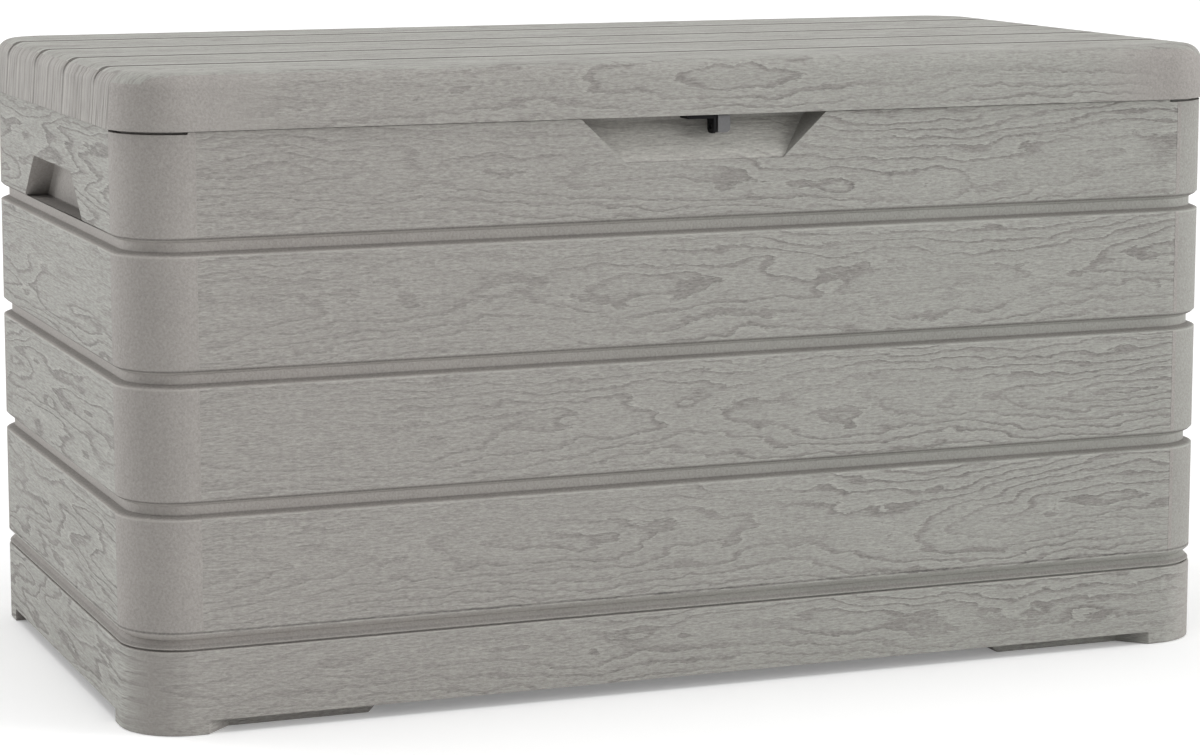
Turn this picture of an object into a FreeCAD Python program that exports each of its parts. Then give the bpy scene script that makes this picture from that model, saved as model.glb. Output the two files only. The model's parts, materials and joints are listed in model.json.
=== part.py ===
import FreeCAD, Part
import math
import os

import Sketcher

# Garden storage box: a resin chest of horizontal boards with a hinged plank lid.
# The frame has its origin on the ground at the middle of the footprint, +X to the right as seen
# from the front, +Y to the back and +Z up. Every length is in millimetres.

doc = FreeCAD.newDocument("GardenStorageBox")
sheet = doc.addObject("Spreadsheet::Sheet", "Sizes")

SIZES = {
    # Body
    "body_length": 1240.0,
    "body_depth": 658.8,
    "corner_radius": 65.0,
    "wall": 4.0,
    "fit_gap": 0.2,
    # Base tray with its plinth board, floor, ribs and feet
    "foot_height": 13.6,
    "foot_front_run": 77.0,
    "foot_side_run": 84.4,
    "foot_setback": 26.0,
    "foot_slant_run": 27.0,
    "foot_strip_length": 158.0,
    "foot_width": 30.0,
    "foot_leg": 60.0,
    "foot_rise": 24.0,
    "foot_end_bevel": 8.0,
    "plinth_top": 87.0,
    "plinth_edge_bevel": 1.5,
    "floor_top": 58.0,
    "floor_thickness": 4.0,
    "channel_height": 26.0,
    "tray_rib_thickness": 4.0,
    "tray_rib_height": 10.0,
    "tray_rib_pitch": 200.0,
    "tray_rib_spread": 210.0,
    # Board pattern of the walls
    "joint_gap": 2.2,
    "joint_edge": 1.0,
    "joint_edge_height": 0.6,
    "joint_flare_rise": 7.8,
    "base_groove_depth": 8.5,
    "base_groove_height": 11.6,
    "first_groove": 225.6,
    "board_pitch": 133.05,
    "top_board_height": 120.4,
    "groove_depth": 9.2,
    "groove_height": 9.6,
    "groove_drop": 3.6,
    "groove_rise": 3.4,
    "board_bottom_bevel": 3.0,
    "tongue_depth": 5.3,
    # Rim under the lid
    "lip_setback": 8.5,
    "lip_height": 22.5,
    "corner_relief": 2.3,
    # Upright rails that join the panels: a flange on each long panel slides into a hook on the side panel
    "flange_reach": 21.0,
    "flange_thickness": 3.5,
    "flange_overlap": 1.0,
    "hook_thickness": 3.5,
    "hook_return": 8.0,
    # Hand-holds in the side panels
    "hold_sill": 13.2,
    "hold_height": 49.1,
    "hold_top_half": 90.0,
    "hold_bottom_half": 141.0,
    "hold_depth": 26.0,
    "hold_backing_margin": 6.0,
    # Finger recess under the lid at the front
    "recess_height": 47.1,
    "recess_bottom_half": 89.0,
    "recess_top_half": 138.7,
    "recess_depth": 34.0,
    "recess_floor_run": 41.0,
    "recess_side_draft": 6.0,
    # Lid shell
    "lid_overhang": 4.0,
    "seam_gap": 0.8,
    "lid_height": 58.1,
    "lid_wall": 4.0,
    "lid_top_thickness": 6.0,
    "lid_draft": 4.5,
    "lid_edge_radius": 18.0,
    "lid_inner_bevel": 8.0,
    "plank_pitch": 140.0,
    "plank_groove_width": 7.0,
    "plank_groove_depth": 3.0,
    "plank_groove_drop": 15.0,
    "lid_rib_thickness": 3.0,
    "lid_rib_pitch": 220.0,
    # Lid liner and bumpers
    "liner_lift": 1.4,
    "liner_thickness": 3.0,
    "liner_edge_gap": 0.6,
    "liner_panel_depth": 1.4,
    "liner_panel_margin": 46.0,
    "liner_panel_gap": 34.0,
    "bumper_length": 30.0,
    "bumper_width": 3.2,
    "bumper_rest_gap": 0.3,
    "bumper_front_x": 390.0,
    "bumper_side_y": 120.0,
    # Hinges
    "hinge_spread": 430.0,
    "hinge_width": 90.0,
    "hinge_pivot_drop": 9.1,
    "knuckle_radius": 6.0,
    "knuckle_half": 15.0,
    "knuckle_gap": 0.3,
    "hinge_pin_radius": 2.5,
    "pin_clearance": 0.05,
    "pin_end": 1.0,
    "leaf_thickness": 3.0,
    "leaf_clearance": 0.5,
    "body_leaf_drop": 51.0,
    "lid_leaf_rise": 47.0,
    "lid_pad_lift": 3.0,
    "hinge_pocket_margin": 2.0,
    "hinge_screw_x": 30.0,
    # Hasp
    "hasp_lid_left": -18.4,
    "hasp_lid_right": 13.2,
    "hasp_lug_thickness": 2.5,
    "hasp_front_depth": 2.4,
    "hasp_lug_back_depth": 20.4,
    "hasp_lug_drop": 20.6,
    "hasp_flange_back_depth": 25.4,
    "hasp_flange_gap": 0.7,
    "hasp_flange_thickness": 3.8,
    "hasp_tab_depth": 4.4,
    "hasp_tab_thickness": 3.0,
    "hasp_tab_rise": 39.1,
    "hasp_body_left": 15.5,
    "hasp_body_right": 29.3,
    "hasp_body_drop": 19.4,
    "hasp_body_height": 18.0,
    "hasp_corner_radius": 5.0,
    "padlock_hole_radius": 3.5,
    "padlock_hole_depth": 12.4,
    "padlock_hole_drop": 12.9,
    # Screws
    "screw_radius": 2.0,
    "screw_head_radius": 4.0,
    "screw_head_height": 1.6,
    "screw_head_margin": 1.0,
    "screw_hole_clearance": 0.1,
    "screw_grip": 9.0,
}

for row, (alias, number) in enumerate(SIZES.items(), start=1):
    sheet.set(f"A{row}", alias)
    sheet.set(f"B{row}", str(number))
    sheet.setAlias(f"B{row}", alias)
doc.recompute()


class Size:
    """A length that knows its value and the sheet formula that gives it."""

    def __init__(self, value, formula):
        self.value = float(value)
        self.formula = formula

    def __add__(self, other):
        other = as_size(other)
        return Size(self.value + other.value, f"({self.formula} + {other.formula})")

    def __sub__(self, other):
        other = as_size(other)
        return Size(self.value - other.value, f"({self.formula} - {other.formula})")

    def __mul__(self, factor):
        factor = as_size(factor)
        return Size(self.value * factor.value, f"({self.formula} * {factor.formula})")

    def __truediv__(self, factor):
        factor = as_size(factor)
        return Size(self.value / factor.value, f"({self.formula} / {factor.formula})")

    def __neg__(self):
        return Size(-self.value, f"(0 - {self.formula})")

    def __radd__(self, other):
        return as_size(other) + self

    def __rsub__(self, other):
        return as_size(other) - self

    def __rmul__(self, factor):
        return as_size(factor) * self


def as_size(number):
    """Give a plain number the same form as a size from the sheet."""
    if isinstance(number, Size):
        return number
    return Size(number, f"({float(number):.6f})")


def size(alias):
    """Read one driving size from the sheet."""
    return Size(sheet.get(alias), f"Sizes.{alias}")


def tangent(angle):
    """The tangent of an angle that the sheet holds in degrees."""
    return Size(math.tan(math.radians(angle.value)), f"tan({angle.formula} * 1 deg)")


def bind(item, name, length):
    """Tie a property to its formula in the sheet."""
    item.setExpression(name, as_size(length).formula)


# Sketches and features

def new_body(label):
    body = doc.addObject("PartDesign::Body", label)
    body.Label = label
    return body


def origin_plane(body, role):
    return next(item for item in body.Origin.OriginFeatures if item.Role == role)


def new_sketch(body, role, offset=0.0):
    """A sketch on one of the body's own origin planes, moved along the plane's normal."""
    sketch = body.newObject("Sketcher::SketchObject", "Sketch")
    sketch.AttachmentSupport = [(origin_plane(body, role), "")]
    sketch.MapMode = "FlatFace"
    offset = as_size(offset)
    sketch.AttachmentOffset = FreeCAD.Placement(FreeCAD.Vector(0, 0, offset.value), FreeCAD.Rotation())
    bind(sketch, "AttachmentOffset.Base.z", offset)
    return sketch


def arc_between(start, end, radius, turn):
    """The short arc from start to end; turn is 1 when it bends left and -1 when it bends right."""
    chord = end - start
    rise = math.sqrt(max(radius ** 2 - (chord.Length / 2) ** 2, 0.0))
    left = FreeCAD.Vector(-chord.y, chord.x, 0).normalize()
    centre = (start + end) / 2 + left * rise * turn
    first, last = (start, end) if turn > 0 else (end, start)
    from_angle = math.atan2(first.y - centre.y, first.x - centre.x)
    to_angle = math.atan2(last.y - centre.y, last.x - centre.x)
    circle = Part.Circle(centre, FreeCAD.Vector(0, 0, 1), radius)
    return Part.ArcOfCircle(circle, from_angle, to_angle)


def outline(sketch, corners):
    """Draw a closed outline. A corner is (across, up); (across, up, radius, turn) is reached by an arc."""
    corners = [tuple(as_size(entry) for entry in corner[:3]) + tuple(corner[3:]) for corner in corners]
    constraints = []
    formulas = []
    first_edge = sketch.GeometryCount
    start_points = []
    for index, corner in enumerate(corners):
        previous = corners[index - 1]
        start = FreeCAD.Vector(previous[0].value, previous[1].value, 0)
        end = FreeCAD.Vector(corner[0].value, corner[1].value, 0)
        if len(corner) > 2:
            radius, turn = corner[2], corner[3]
            edge = sketch.addGeometry(arc_between(start, end, radius.value, turn), False)
            ends = (1, 2) if turn > 0 else (2, 1)
            constraints.append(Sketcher.Constraint("Radius", edge, radius.value))
            formulas.append(radius.formula)
        else:
            edge = sketch.addGeometry(Part.LineSegment(start, end), False)
            ends = (1, 2)
        start_points.append((edge, ends[0], ends[1]))
        constraints.append(Sketcher.Constraint("DistanceX", -1, 1, edge, ends[1], corner[0].value))
        formulas.append(corner[0].formula)
        constraints.append(Sketcher.Constraint("DistanceY", -1, 1, edge, ends[1], corner[1].value))
        formulas.append(corner[1].formula)
    for index, (edge, start, _) in enumerate(start_points):
        before, _, end = start_points[index - 1]
        constraints.append(Sketcher.Constraint("Coincident", before, end, edge, start))
        formulas.append(None)
    first = sketch.ConstraintCount
    sketch.addConstraint(constraints)
    for index, formula in enumerate(formulas):
        if formula is not None:
            sketch.setExpression(f"Constraints[{first + index}]", formula)
    return first_edge


def circle(sketch, across, up, radius):
    across, up, radius = as_size(across), as_size(up), as_size(radius)
    centre = FreeCAD.Vector(across.value, up.value, 0)
    edge = sketch.addGeometry(Part.Circle(centre, FreeCAD.Vector(0, 0, 1), radius.value), False)
    first = sketch.ConstraintCount
    sketch.addConstraint([
        Sketcher.Constraint("DistanceX", -1, 1, edge, 3, across.value),
        Sketcher.Constraint("DistanceY", -1, 1, edge, 3, up.value),
        Sketcher.Constraint("Radius", edge, radius.value),
    ])
    for index, length in enumerate((across, up, radius)):
        sketch.setExpression(f"Constraints[{first + index}]", length.formula)


def shank_hole(sketch, across, up):
    """A hole for a screw's shank, with the same sides as the shank and a little clearance round it."""
    corners = []
    for step in range(SHANK_SIDES):
        angle = 2 * math.pi * step / SHANK_SIDES
        aside, above = math.cos(angle), math.sin(angle)
        corners.append((across + screw_hole_radius * aside, up + screw_hole_radius * above))
    outline(sketch, corners)


def rectangle(left, low, right, high):
    return [(left, low), (right, low), (right, high), (left, high)]


def rounded_rectangle(half_x, half_y, radius):
    """Corners of a rectangle about the origin, drawn anticlockwise, with arcs at its corners."""
    return [
        (half_x, radius - half_y, radius, 1),
        (half_x, half_y - radius),
        (half_x - radius, half_y, radius, 1),
        (radius - half_x, half_y),
        (-half_x, half_y - radius, radius, 1),
        (-half_x, radius - half_y),
        (radius - half_x, -half_y, radius, 1),
        (half_x - radius, -half_y),
    ]


def extrude(body, kind, sketch, length, both_ways=False, backwards=False, taper=None):
    """Add or cut material along the sketch's normal."""
    feature = body.newObject(kind, kind.split("::")[1])
    feature.Profile = sketch
    feature.Length = as_size(length).value
    bind(feature, "Length", length)
    feature.SideType = "Symmetric" if both_ways else "One side"
    feature.Reversed = backwards
    if taper is not None:
        bind(feature, "TaperAngle", taper)
    return feature


def pad(body, sketch, length, **options):
    return extrude(body, "PartDesign::Pad", sketch, length, **options)


def pocket(body, sketch, length, **options):
    return extrude(body, "PartDesign::Pocket", sketch, length, **options)


AXIS_LENGTH = 100.0


def turn_about(body, kind, sketch, across, angle, backwards=False):
    """Revolve or groove a sketch about its own upright line at the given distance across."""
    across = as_size(across)
    low = FreeCAD.Vector(across.value, 0, 0)
    high = FreeCAD.Vector(across.value, AXIS_LENGTH, 0)
    edge = sketch.addGeometry(Part.LineSegment(low, high), True)
    first = sketch.ConstraintCount
    sketch.addConstraint([
        Sketcher.Constraint("DistanceX", -1, 1, edge, 1, across.value),
        Sketcher.Constraint("DistanceY", -1, 1, edge, 1, 0.0),
        Sketcher.Constraint("Vertical", edge),
        Sketcher.Constraint("DistanceY", edge, 1, edge, 2, AXIS_LENGTH),
    ])
    sketch.setExpression(f"Constraints[{first}]", across.formula)
    feature = body.newObject(kind, kind.split("::")[1])
    feature.Profile = sketch
    feature.ReferenceAxis = (sketch, ["Axis0"])
    feature.Angle = angle
    feature.Reversed = backwards
    return feature


def mirror(body, role, *features):
    """Repeat features on the other side of one of the body's origin planes."""
    feature = body.newObject("PartDesign::Mirrored", "Mirrored")
    feature.Originals = list(features)
    feature.MirrorPlane = (origin_plane(body, role), [""])
    body.Tip = feature
    return feature


def loft(body, kind, sketches):
    feature = body.newObject(kind, kind.split("::")[1])
    feature.Profile = sketches[0]
    feature.Sections = sketches[1:]
    feature.Ruled = True
    return feature


def dress_edges(body, kind, chosen):
    """Start a fillet or chamfer on the edges of the body's present shape that the test picks."""
    doc.recompute()
    base = body.Tip
    names = [f"Edge{index}" for index, edge in enumerate(base.Shape.Edges, start=1) if chosen(edge.BoundBox)]
    feature = body.newObject(kind, kind.split("::")[1])
    feature.Base = (base, names)
    return feature


def round_edges(body, radius, chosen):
    bind(dress_edges(body, "PartDesign::Fillet", chosen), "Radius", radius)


def bevel_edges(body, leg, chosen):
    bind(dress_edges(body, "PartDesign::Chamfer", chosen), "Size", leg)


# Sizes that several pieces share

half_length = size("body_length") / 2
half_depth = size("body_depth") / 2
corner_radius = size("corner_radius")
wall = size("wall")
fit_gap = size("fit_gap")
corner_x = half_length - corner_radius
corner_y = half_depth - corner_radius
wall_foot = size("plinth_top") + size("joint_gap")
groove_levels = [size("first_groove") + size("board_pitch") * step for step in range(3)]
shoulder = groove_levels[-1] + size("top_board_height")
lip_top = shoulder + size("lip_height")
rail_bottom = wall_foot + size("joint_flare_rise")
rail_top = shoulder - size("lip_setback") - wall
lid_bottom = shoulder + size("seam_gap")
lid_top = lid_bottom + size("lid_height")
liner_bottom = lip_top + size("liner_lift")
pivot_y = half_depth + size("lid_overhang") - size("knuckle_radius")
pivot_z = shoulder - size("hinge_pivot_drop")
body_leaf_bottom = pivot_z - size("body_leaf_drop")
lid_leaf_top = pivot_z + size("lid_leaf_rise")
recess_bottom = shoulder - size("recess_height")
hasp_tab_top = lid_bottom + size("hasp_tab_rise")
hasp_body_bottom = lid_bottom - size("hasp_body_drop")
hasp_body_top = hasp_body_bottom + size("hasp_body_height")
padlock_z = lid_bottom - size("padlock_hole_drop")
hinge_places = {"left": -size("hinge_spread"), "right": size("hinge_spread")}
screw_hole_radius = size("screw_radius") + size("screw_hole_clearance")
hold_floor = groove_levels[-1] + size("hold_sill")
hold_top = hold_floor + size("hold_height")
hold_slope = (size("hold_bottom_half") - size("hold_top_half")) / size("hold_height")
recess_slope = (size("recess_top_half") - size("recess_bottom_half")) / size("recess_height")

# Counts of what repeats, as steps of its pitch from the middle
LID_RIB_STEPS = (-2.5, -1.5, -0.5, 0.5, 1.5, 2.5)
PLANK_GROOVE_STEPS = (-1.5, -0.5, 0.5, 1.5)
TRAY_RIB_STEPS = (-2, -1, 0, 1, 2)
LINER_COLUMNS = 3
LINER_ROWS = 2
HEAD_SIDES = 6
SHANK_SIDES = 8

# How far cuts and inner corners go past what they meet, as multiples of that thickness
THROUGH = 4
OVERSHOOT = 2
INNER_SLOPE_EASE = 1.2
BACKING_SILL = 1.5
RAIL_INSET = 0.2

# How near an edge must lie to a level, and to the outer face, to be picked for a bevel or a rounding
EDGE_TOLERANCE = 0.01
EDGE_BAND = 2.0


# Base tray: one moulding with the plinth board, the floor, the ribs under it and the corner feet

def make_base_tray():
    body = new_body("base_tray")
    height = size("plinth_top") - size("foot_height")
    sketch = new_sketch(body, "XY_Plane", size("foot_height"))
    outline(sketch, rounded_rectangle(half_length, half_depth, corner_radius))
    pad(body, sketch, height)

    hollow = new_sketch(body, "XY_Plane", size("plinth_top"))
    outline(hollow, rounded_rectangle(half_length - wall, half_depth - wall, corner_radius - wall))
    pocket(body, hollow, size("plinth_top") - size("floor_top"))

    under = new_sketch(body, "XY_Plane", size("foot_height"))
    outline(under, rounded_rectangle(half_length - wall, half_depth - wall, corner_radius - wall))
    pocket(body, under, size("floor_top") - size("floor_thickness") - size("foot_height"), backwards=True)

    channel = size("tongue_depth") + wall + fit_gap
    rail = new_sketch(body, "XY_Plane", size("floor_top") - size("floor_thickness") / 2)
    outline(rail, rounded_rectangle(half_length - channel, half_depth - channel, corner_radius - channel))
    inner = channel + wall
    outline(rail, rounded_rectangle(half_length - inner, half_depth - inner, corner_radius - inner))
    pad(body, rail, size("channel_height") + size("floor_thickness") / 2)

    rib_height = size("tray_rib_height") + size("floor_thickness") / 2
    rib_bottom = size("floor_top") - size("floor_thickness") - size("tray_rib_height")
    rib = size("tray_rib_thickness") / 2
    cross = new_sketch(body, "XY_Plane", rib_bottom)
    for step in TRAY_RIB_STEPS:
        middle = size("tray_rib_pitch") * step
        outline(cross, rectangle(middle - rib, wall / 2 - half_depth, middle + rib, half_depth - wall / 2))
    pad(body, cross, rib_height)
    along = new_sketch(body, "XY_Plane", rib_bottom)
    for side in (-1, 1):
        middle = size("tray_rib_spread") * side
        outline(along, rectangle(wall / 2 - half_length, middle - rib, half_length - wall / 2, middle + rib))
    pad(body, along, rib_height)

    feet = new_sketch(body, "XY_Plane")
    for side_x in (-1, 1):
        for side_y in (-1, 1):
            outline(feet, foot_outline(side_x, side_y))
    pad(body, feet, size("foot_height") + size("foot_rise"))

    bevels = new_sketch(body, "XZ_Plane")
    bevel = size("foot_end_bevel")
    end_x = half_length - size("foot_front_run") - size("foot_slant_run") - size("foot_strip_length")
    for side in (-1, 1):
        outline(bevels, [(end_x * side, bevel), (end_x * side, 0), ((end_x + bevel) * side, 0)])
    pocket(body, bevels, size("body_depth"), both_ways=True)

    top = size("plinth_top").value
    bevel_edges(body, size("plinth_edge_bevel"), lambda box: outer_edge_at(box, top))
    return body


def foot_outline(side_x, side_y):
    """Plan of one foot: flush round the corner, then slanting in to a strip set back behind the plinth."""
    front_x = half_length - size("foot_front_run")
    strip_x = front_x - size("foot_slant_run")
    end_x = strip_x - size("foot_strip_length")
    strip_y = half_depth - size("foot_setback")
    back_y = strip_y - size("foot_width")
    leg_x = half_length - size("foot_leg")
    side_end_y = half_depth - size("foot_side_run")
    corners = [
        (half_length, side_end_y),
        (half_length, corner_y),
        (corner_x, half_depth, corner_radius, 1),
        (front_x, half_depth),
        (strip_x, strip_y),
        (end_x, strip_y),
        (end_x, back_y),
        (leg_x, back_y),
        (leg_x, side_end_y),
    ]
    placed = []
    for corner in corners:
        across, up = corner[0] * side_x, corner[1] * side_y
        if len(corner) > 2:
            placed.append((across, up, corner[2], corner[3] * side_x * side_y))
        else:
            placed.append((across, up))
    return placed


def outer_edge_at(box, height):
    """True for an edge at one height that lies on the outer face of the body."""
    level = abs(box.ZMin - height) < EDGE_TOLERANCE and abs(box.ZMax - height) < EDGE_TOLERANCE
    reach_x = max(abs(box.XMin), abs(box.XMax))
    reach_y = max(abs(box.YMin), abs(box.YMax))
    on_side = reach_x > half_length.value - EDGE_BAND
    on_front = reach_y > half_depth.value - EDGE_BAND
    return level and (on_side or on_front)


# Wall panels: one moulded section with boards, grooves, a tongue at the foot and a lip at the top

def outer_section(shift):
    """The outer side of the wall from its foot up to its shoulder, as (depth, height) corners.

    A shift above zero gives the same line moved into the wall.
    """
    bevel = size("board_bottom_bevel")
    board = wall_foot + size("base_groove_height") + shift
    corners = [
        (size("joint_edge") + shift, wall_foot + size("joint_edge_height")),
        (size("base_groove_depth") + shift, wall_foot + size("joint_flare_rise")),
        (bevel + shift, board),
        (as_size(shift), board + bevel),
    ]
    for level in groove_levels:
        high = level + size("groove_height") + shift
        under = high + size("groove_rise")
        corners += [
            (as_size(shift), level - size("groove_drop") - shift),
            (size("groove_depth") + shift, level - shift),
            (size("groove_depth") + shift, high),
            (bevel + shift, under),
            (as_size(shift), under + bevel),
        ]
    return corners


def wall_section():
    """The whole wall section, from the tongue up the outside, over the lip and down the inside."""
    tongue = size("tongue_depth")
    tongue_bottom = size("floor_top") + fit_gap
    setback = size("lip_setback")
    corners = [(tongue, tongue_bottom), (tongue, wall_foot), (size("joint_edge"), wall_foot)]
    corners += outer_section(as_size(0))
    corners += [
        (as_size(0), shoulder),
        (setback, shoulder),
        (setback, lip_top),
        (setback + wall, lip_top),
        (setback + wall, shoulder - wall),
        (wall, shoulder - wall - setback),
    ]
    for level in reversed(groove_levels):
        under = level + size("groove_height") + size("groove_rise")
        corners += [
            (wall, under + wall),
            (size("groove_depth") + wall, level + size("groove_height") + wall / 2),
            (size("groove_depth") + wall, level - wall / 2),
            (wall, level - size("groove_drop") - wall * INNER_SLOPE_EASE),
        ]
    ridge = size("base_groove_depth") + wall
    corners += [
        (wall, wall_foot + size("base_groove_height") + wall),
        (ridge, wall_foot + size("joint_flare_rise") + wall / 2),
        (ridge, wall_foot + size("joint_flare_rise") - wall / 2),
        (tongue + wall, wall_foot - wall / 2),
        (tongue + wall, tongue_bottom),
    ]
    return corners


def flange_section(reach):
    """The section of an upright flange: the wall's own outer line, filled in to the flange's reach."""
    corners = outer_section(size("flange_overlap"))[1:]
    corners += [(size("flange_overlap"), rail_top), (reach, rail_top), (reach, rail_bottom)]
    return corners


def placed_section(corners, face, side):
    """Turn (depth, height) corners into sketch corners on the side that faces along +1 or -1."""
    return [((face - depth) * side, height) for depth, height in corners]


def make_long_panel(label, side):
    """The front or rear wall with its two rounded corners, up to the joints with the side panels."""
    body = new_body(label)
    sketch = new_sketch(body, "YZ_Plane", corner_x)
    outline(sketch, placed_section(wall_section(), half_depth, side))
    pad(body, sketch, corner_x * 2, backwards=True)

    corner = new_sketch(body, "YZ_Plane", corner_x)
    outline(corner, placed_section(wall_section(), half_depth, side))
    bend = turn_about(body, "PartDesign::Revolution", corner, corner_y * side, 90, backwards=side > 0)

    flange = new_sketch(body, "XZ_Plane", corner_y * -side)
    outline(flange, placed_section(flange_section(size("flange_reach")), half_length, 1))
    ear = pad(body, flange, size("flange_thickness"), backwards=side > 0)
    mirror(body, "YZ_Plane", bend, ear)

    for end in (-1, 1):
        relief = new_sketch(body, "YZ_Plane", corner_x * end)
        step = size("corner_relief")
        outer = (half_depth + step) * side
        inner = (half_depth - size("lip_setback")) * side
        outline(relief, rectangle(outer, shoulder - step, inner, shoulder + step))
        turn_about(body, "PartDesign::Groove", relief, corner_y * side, 90, backwards=side * end > 0)
    return body


def make_front_panel():
    """The front wall, with the finger recess and its backing."""
    body = make_long_panel("front_panel", -1)
    outside = recess_outline(as_size(0), as_size(0), 0)
    inside = recess_outline(size("recess_floor_run"), size("recess_side_draft"), 0)
    outer_back = recess_outline(as_size(0), as_size(0), 1)
    inner_back = recess_outline(size("recess_floor_run"), size("recess_side_draft"), 1)
    near = new_sketch(body, "XZ_Plane", half_depth - wall / 2)
    outline(near, outer_back)
    far = new_sketch(body, "XZ_Plane", half_depth - size("recess_depth") - wall)
    outline(far, inner_back)
    loft(body, "PartDesign::AdditiveLoft", [near, far])

    mouth = new_sketch(body, "XZ_Plane", half_depth)
    outline(mouth, outside)
    floor = new_sketch(body, "XZ_Plane", half_depth - size("recess_depth"))
    outline(floor, inside)
    loft(body, "PartDesign::SubtractiveLoft", [mouth, floor])

    holes = new_sketch(body, "XZ_Plane", half_depth - size("recess_depth"))
    for across, up in hasp_screw_places():
        shank_hole(holes, across, up)
    pocket(body, holes, size("recess_depth") * OVERSHOOT, both_ways=True)
    return body


def recess_outline(rise, draft, backing):
    """Outline of the finger recess at one depth; backing 1 gives the wall behind it."""
    low = recess_bottom + rise - wall * BACKING_SILL * backing
    high = lip_top + wall * OVERSHOOT * (1 - backing)
    bottom_half = size("recess_bottom_half") + recess_slope * rise - draft + wall * backing
    top_half = size("recess_top_half") - draft + wall * backing
    return [(-bottom_half, low), (bottom_half, low), (top_half, shoulder), (top_half, high),
            (-top_half, high), (-top_half, shoulder)]


def hasp_screw_places():
    middle = (size("hasp_body_left") + size("hasp_body_right")) / 2
    return [(middle, hasp_body_top - size("screw_head_radius"))]


def make_rear_panel():
    """The rear wall, with a pocket for each hinge."""
    body = make_long_panel("rear_panel", 1)
    pocket_half = size("hinge_width") / 2 + size("hinge_pocket_margin")
    pocket_low = body_leaf_bottom - size("hinge_pocket_margin")
    setback = size("lip_setback")
    backing = new_sketch(body, "XZ_Plane", wall / 2 - half_depth)
    for place in hinge_places.values():
        outline(backing, rectangle(place - pocket_half - wall, pocket_low - wall,
                                   place + pocket_half + wall, shoulder - wall / 2))
    pad(body, backing, setback + wall / 2)
    seats = new_sketch(body, "XZ_Plane", -half_depth)
    for place in hinge_places.values():
        outline(seats, rectangle(place - pocket_half, pocket_low,
                                 place + pocket_half, shoulder + wall))
    pocket(body, seats, setback, backwards=True)
    holes = new_sketch(body, "XZ_Plane", setback - half_depth)
    for place in hinge_places.values():
        for across, up in body_leaf_screws():
            shank_hole(holes, place + across, up)
    pocket(body, holes, wall * THROUGH, both_ways=True)
    return body


def body_leaf_screws():
    middle = (body_leaf_bottom + pivot_z - size("knuckle_radius")) / 2
    return [(-size("hinge_screw_x"), middle), (size("hinge_screw_x"), middle)]


def make_side_panel(label, side):
    """A side wall between the corner joints, with a hand-hold moulded into its top board."""
    body = new_body(label)
    length = (corner_y - fit_gap) * 2
    sketch = new_sketch(body, "XZ_Plane")
    outline(sketch, placed_section(wall_section(), half_length, side))
    pad(body, sketch, length, both_ways=True)

    hook_start = size("flange_reach") + fit_gap
    hook_end = hook_start + size("hook_thickness")
    for end in (-1, 1):
        flange = new_sketch(body, "XZ_Plane", (corner_y - fit_gap) * -end)
        outline(flange, placed_section(flange_section(hook_end), half_length, side))
        pad(body, flange, size("flange_thickness"), backwards=end < 0)
    hooks = new_sketch(body, "XY_Plane", rail_bottom)
    root = corner_y - fit_gap - size("flange_thickness") / 2
    near = corner_y + size("flange_thickness") + fit_gap
    far = near + size("hook_thickness")
    for end in (-1, 1):
        outline(hooks, [
            ((half_length - hook_end) * side, root * end),
            ((half_length - hook_end) * side, far * end),
            ((half_length - hook_end + size("hook_return")) * side, far * end),
            ((half_length - hook_end + size("hook_return")) * side, near * end),
            ((half_length - hook_start) * side, near * end),
            ((half_length - hook_start) * side, root * end),
        ])
    pad(body, hooks, rail_top - rail_bottom)

    back = size("hold_depth") + wall
    behind_board = size("board_bottom_bevel")
    behind_groove = size("groove_depth") + wall * RAIL_INSET
    cup = new_sketch(body, "YZ_Plane", (half_length - behind_board) * side)
    outline(cup, hold_outline(hold_floor, hold_top + wall, size("hold_backing_margin")))
    pad(body, cup, back - behind_board, backwards=side > 0)
    sill = new_sketch(body, "YZ_Plane", (half_length - behind_groove) * side)
    outline(sill, hold_outline(hold_floor - wall, hold_floor + wall, size("hold_backing_margin")))
    pad(body, sill, back - behind_groove, backwards=side > 0)

    mouth = new_sketch(body, "YZ_Plane", half_length * side)
    outline(mouth, hold_outline(hold_floor, hold_top, 0))
    pocket(body, mouth, size("hold_depth"), backwards=side < 0)
    return body


def hold_outline(low, high, margin):
    """The hand-hold seen from the side, between two levels: narrow at the top and wide at the bottom."""
    low_half = size("hold_top_half") + (hold_top - low) * hold_slope + margin
    high_half = size("hold_top_half") + (hold_top - high) * hold_slope + margin
    return [(-low_half, low), (low_half, low), (high_half, high), (-high_half, high)]


# Lid: an outer shell with planks on top and ribs inside, and a liner that closes it from below

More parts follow.
